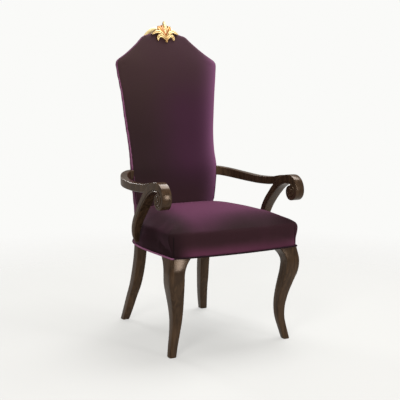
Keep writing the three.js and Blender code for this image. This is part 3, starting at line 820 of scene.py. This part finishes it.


# Back: a shaped wooden frame padded on both faces and boxed at its edge, narrow at the waist
# and broad at the shoulders, under velvet that is brushed darker towards the throne's right; painted sheen
# and painted light are in its colour.
BACK_BOTTOM = 366
BACK_TOP = 1189
BACK_SHAPE = [   # height, half width, depth of the front edge, thickness at the edge
    (365, 170, 437, 46), (485, 176, 437, 42), (560, 185, 437, 38), (640, 191.5, 443, 32),
    (700, 190, 458.5, 28), (780, 194.5, 476, 26), (860, 202.5, 486.5, 24), (940, 210.2, 494, 23),
    (1020, 221.5, 505.5, 22), (1060, 226, 511, 22), (1120, 226, 525, 22), (1190, 226, 545, 24),
]
BACK_SLOPE = [   # across and height, from the shoulder to the top corner
    (225, 1064), (219, 1073), (206, 1082), (188, 1093.5), (171, 1105.5), (140, 1130),
    (113, 1153.5), (100, 1166.5),
]
BACK_CORNER = (92, 1173)
BACK_CROWN = 17
BACK_SWELL = 6

foot = np.column_stack([np.linspace(0, 160, 24), np.full(24, BACK_BOTTOM)])
side_height = np.linspace(BACK_BOTTOM, 1056, 90)
arch = np.linspace(BACK_CORNER[0], 0, 20)
back_half = np.concatenate([
    foot,
    np.column_stack([[through(BACK_SHAPE, z)[0] for z in side_height], side_height]),
    curved(BACK_SLOPE, 30),
    np.column_stack([arch, BACK_TOP - (BACK_TOP - BACK_CORNER[1]) * (arch / BACK_CORNER[0]) ** 2])])
back_outline = whole_outline(back_half)


def above_seat(height):
    return smooth_step(height, 500, 640)


def back_ring(outline, depth):
    """A ring round the back; depth gives how far behind the front edge each point is."""
    across, height = outline.T
    stations = np.array([through(BACK_SHAPE, z) for z in height])
    return np.column_stack([across, stations[:, 1] + depth(stations[:, 2], height), height])


spine = np.column_stack([np.zeros(len(back_outline)), np.clip(back_outline[:, 1], 560, 1085)])
back_rings = []
for share in (0.997, 0.9, 0.8, 0.6, 0.4, 0.2, 0.08):
    ring = back_outline + (spine - back_outline) * share
    back_rings.append(back_ring(ring, lambda t, z: t + 1.5 * (1 - (1 - share) ** 3)))
full = 1 - 0.8 * smooth_step(back_outline[:, 1], 1166, 1178)
for outwards, ahead in ((-3.5, -0.2), (-0.5, 0.4), (2, 2.2), (3.2, 5.5)):   # round the rear edge
    back_rings.append(back_ring(inset(back_outline, -outwards * full), lambda t, z: t - ahead))
for share in (0.33, 0.66, 1):
    back_rings.append(back_ring(inset(back_outline, (0.7 * share - 3.2) * full),
                                lambda t, z: (t - 5.5) * (1 - share) + 5 * share))
back_rings.append(back_ring(inset(back_outline, -1.6 * full), lambda t, z: 1.6))
back_rings.append(back_ring(inset(back_outline, 1.4), lambda t, z: 0.4))
for share in (0.04, 0.08, 0.14, 0.22, 0.32, 0.45, 0.6, 0.75, 0.88, 0.997):
    ring = back_outline + (spine - back_outline) * share
    fill = 1 - (1 - share) ** 3
    back_rings.append(back_ring(ring, lambda t, z: 0.5 - (BACK_CROWN - BACK_SWELL) * fill * above_seat(z)))
back = skin("back_velvet", back_rings)


def from_edge(spots):
    """Millimetres from each point to the back's outline, seen from the front."""
    flat = spots[:, (0, 2)] * 1000 - (0, FOOT_DROP)
    nearest = np.full(len(flat), 1e9)
    for a, b in zip(back_outline, np.roll(back_outline, -1, axis=0)):
        along = np.clip(((flat - a) @ (b - a)) / ((b - a) @ (b - a)), 0, 1)
        nearest = np.minimum(nearest, np.linalg.norm(flat - a - along[:, None] * (b - a), axis=1))
    return nearest


def back_sewn(spots):
    """The cover is held at its edges, and low down behind the seat."""
    return (from_edge(spots) < 7) | (spots[:, 2] * 1000 - FOOT_DROP < 500)


def back_dye(cloth, ruffle):
    """Painted light, browner above and lighter low down; violet below the middle; purple towards the throne's
    left edge, partly the pile's lay and partly painted sheen; painted sheen on the side faces.
    """
    height, share = cloth.along("Z"), cloth.mark("share")
    # Painted light: lighter and browner towards the top, and lighter again low down behind the seat.
    shaded = cloth.mix(height.rise(0.66, 1.1), rgb(46, 31, 33), rgb(64, 46, 47))
    shaded = cloth.mix(height.rise(0.5, 0.64), rgb(60, 38, 44), shaded)
    violet = share.rise(-0.75, 0.4) * height.rise(0.5, 0.68) * (1 - 0.65 * height.rise(0.84, 1.06))
    colour = cloth.mix((violet + ruffle).rise(0, 1, "LINEAR") * 0.85, shaded, rgb(65, 33, 55))
    # Purple towards the throne's left edge, partly the pile's lay and partly painted sheen where the face
    # curves away.
    edge = (share + ruffle * 0.12).rise(0.2, 1, "LINEAR") ** 5
    colour = cloth.mix(edge, colour, rgb(130, 82, 119))
    # Painted sheen on the side faces, weaker towards the top.
    return cloth.mix(cloth.mark("boxing") * (1 - 0.6 * height.rise(0.7, 1.1)), colour, rgb(112, 70, 96)), 0


def back_slack(spots):
    """How far each point of the cover is from the back's edge, from 0 to 1."""
    return smooth_step(from_edge(spots), 10, 40)


swollen(back, back_sewn, back_slack, BACK_SWELL)
spots = coordinates(back)
half_widths = np.array([through(BACK_SHAPE, z)[0] for z in spots[:, 2] * 1000 - FOOT_DROP])
# Each point's place across the back, and a mark on the side faces for their painted sheen.
marked(back, share=spots[:, 0] * 1000 / half_widths,
       boxing=smooth_step(np.abs(directions(back)[:, 0]), 0.5, 0.8))
finished(back, velvet("back_velvet", back_dye), "velvet", "back_pad")

back_welt_line = inset(back_outline, 0.6 - 2 * full)
back_welt_line = back_welt_line[back_welt_line[:, 1] > 492]
back_welt_line = back_ring(back_welt_line, lambda t, z: BACK_WELT_DEPTH)
sewn_cord("back_welt_cord", back_welt_line, BACK_WELT_RADIUS,
          velvet("back_welt_velvet", back_welt_dye, 0.5), "welt", "back_welt")


# Crest ornament: a spray of acanthus leaves, cast in one piece with two wings that lie along
# the top of the back, gilded, with painted highlights on the ridges, painted shade in the grooves and a
# painted warm reflection inside the fan, and pinned astride the back.
ORNAMENT_FOOT = 1150
ORNAMENT_FACE = 530
ORNAMENT_LEAN = 0.3
LEAF_BED = 4
WING_DEPTH = 571


def ornament_face(height):
    return ORNAMENT_FACE + ORNAMENT_LEAN * (height - ORNAMENT_FOOT)


gilt_spots, gilt_values = [], []


def leaf(path, widths, reliefs, side, flutes, tone):
    """A leaf standing proud in rolled flutes, with painted highlights on its flutes and painted shade along
    its upper edge and near its stem; its painted reflection runs from warm red to pale gold.
    """
    line = curved(np.asarray(path, float) * (side, 1), 40)
    ahead = np.gradient(line, axis=0)
    ahead /= np.linalg.norm(ahead, axis=1)[:, None]
    across = np.column_stack([-ahead[:, 1], ahead[:, 0]])
    keys = np.linspace(0, 1, len(widths))
    share = np.linspace(-1, 1, 33)
    rolled = (0.5 - 0.5 * np.cos(np.pi * flutes * (share + 1))) ** 0.5
    ridge = np.clip(1 - np.abs(share) ** 3, 0, 1) ** 0.5 * (0.78 + 0.22 * rolled)
    rings = []
    for t, middle, out in zip(np.linspace(0, 1, 40), line, across):
        half = through(np.column_stack([keys, widths]), t)[0]
        relief = through(np.column_stack([keys, reliefs]), t)[0]
        tip = np.sqrt(np.clip(1 - ((t - 0.86) / 0.14) ** 2, 0.02, 1)) if t > 0.86 else 1
        front = [(middle + out * half * tip * k, relief * r) for k, r in zip(share, ridge)]
        rear = [(middle + out * half * tip * k, -LEAF_BED) for k in (0.7, -0.7)]
        rings.append([(p[0], ornament_face(p[1]) - proud, p[1]) for p, proud in front + rear])
        gilt_spots.extend(placed(rings[-1][:33]))
        # Painted shade along the upper edge and towards the stem, and painted highlight on the rolled flutes.
        shade = (0.9 if tone < 1 else 0) * smooth_step(share * side, 0.45, 0.85)
        shine = (0.25 + 0.75 * rolled) * (1 - shade) * min(1, 0.5 + 2 * t)
        gilt_values.extend((r, tone) for r in shine)
    return skin("leaf", rings)


def wing(side):
    """A leaf that lies along the top of the back, tilted to face up and forwards."""
    line = curved(np.array([(4, 1199), (28, 1203), (54, 1193), (81, 1176)]) * (side, 1), 30)
    ahead = np.gradient(line, axis=0)
    ahead /= np.linalg.norm(ahead, axis=1)[:, None]
    share = np.linspace(-1, 1, 13)
    swell = np.sqrt(np.clip(1 - share ** 2, 0, 1))
    rings = []
    for t, middle, way in zip(np.linspace(0, 1, 30), line, ahead):
        half = 10 * (1 - t ** 3) + 1.5
        across = np.array([-way[1], way[0]]) * side
        thick = 6 * (1 - 0.6 * t) * swell
        tilt = 5 * (1 - t) * share
        face = [(middle + across * half * k, s - d) for k, s, d in zip(share, thick, tilt)]
        behind = [(middle + across * half * k, -s - d)
                  for k, s, d in zip(share[-2:0:-1], thick[-2:0:-1], tilt[-2:0:-1])]
        rings.append([(p[0], WING_DEPTH - s, p[1]) for p, s in face + behind])
        gilt_spots.extend(placed(rings[-1]))
        # The wings are painted pale all over, as painted highlight and painted reflection.
        gilt_values.extend([(0.95, 1.0)] * len(rings[-1]))
    return skin("wing", rings)


def saddle():
    rings = [
        [(x, ORNAMENT_FACE + 1, z - 8), (x, ORNAMENT_FACE + 7, z + rise), (x, WING_DEPTH, z + rise + 2),
         (x, WING_DEPTH + 4, z - 14), (x, WING_DEPTH - 12, z - 14)]
        for x, z, rise in ((-30, 1180, 4), (-18, 1186, 10), (0, 1188, 15), (18, 1186, 10), (30, 1180, 4))]
    return skin("saddle", rings)


# Each leaf's last number is its painted reflection: 0 warm red inside the fan, up to 1 pale on the centre
# leaf.
leaves = [
    leaf([(1, 1178), (2, 1206), (3, 1236)], (5, 8.5, 6.5), (9, 12, 6), 1, 1, 1.0),
    leaf([(1, 1178), (2, 1164), (2, 1149)], (9, 8, 4), (16, 13, 8), 1, 2, 0.6),
    saddle(),
]
for side in (-1, 1):
    leaves += [
        leaf([(1, 1180), (7, 1203), (11, 1221)], (4, 6, 4.5), (10, 11, 6), side, 1, 0.0),
        leaf([(3, 1176), (16, 1199), (27, 1216)], (6, 12, 8.5), (10, 10, 6), side, 2, 0.3),
        leaf([(3, 1170), (18, 1188), (36, 1193), (60, 1182)], (6, 8, 8, 4.5), (13, 13, 11, 7), side, 2, 0.9),
        leaf([(3, 1162), (17, 1175), (32, 1173), (37, 1156)], (6, 8, 8.5, 5), (15, 13, 11, 7), side, 2, 0.85),
        wing(side),
    ]


def joined(name, pieces):
    """Several bodies in one mesh."""
    form = bmesh.new()
    for piece in pieces:
        form.from_mesh(piece.data)
        bpy.data.objects.remove(piece)
    mesh = bpy.data.meshes.new(name)
    form.to_mesh(mesh)
    form.free()
    whole = bpy.data.objects.new(name, mesh)
    scene.collection.objects.link(whole)
    return whole


ornament = joined("crest_ornament_gilded", leaves)
nearest = KDTree(len(gilt_spots))
for index, spot in enumerate(gilt_spots):
    nearest.insert(spot, index)
nearest.balance()
found = np.array([gilt_values[nearest.find(spot)[1]] for spot in coordinates(ornament)])
gilt, tone = found.T
marked(ornament, gilt=gilt, tone=tone)

gilded = Finish("gilding", Metallic=0.55, Specular_IOR_Level=0.5)
raised, tint = gilded.mark("gilt"), gilded.mark("tone")
mottle = gilded.noise(160, 3, 0.6)
# Painted reflection: warm red, through gold, to pale.
body = gilded.mix(tint.rise(0, 0.5, "LINEAR"), rgb(204, 108, 46), rgb(222, 166, 80))
body = gilded.mix(tint.rise(0.5, 1, "LINEAR"), body, rgb(246, 218, 152))
# Painted shade in the grooves and along the leaves' upper edges.
gold = gilded.mix((raised + (mottle - 0.5) * 0.2).rise(0.1, 0.7), rgb(88, 52, 20), body)
# Painted highlight on the ridges.
gold = gilded.mix(raised.rise(0.6, 1) * 0.3, gold, rgb(255, 240, 196))
gilded.paint(Base_Color=gold, Roughness=0.34 + 0.1 * mottle, Normal=gilded.bump(mottle, 0.04, 0.0003))
finished(ornament, gilded.material, "gilding", "crest_ornament")
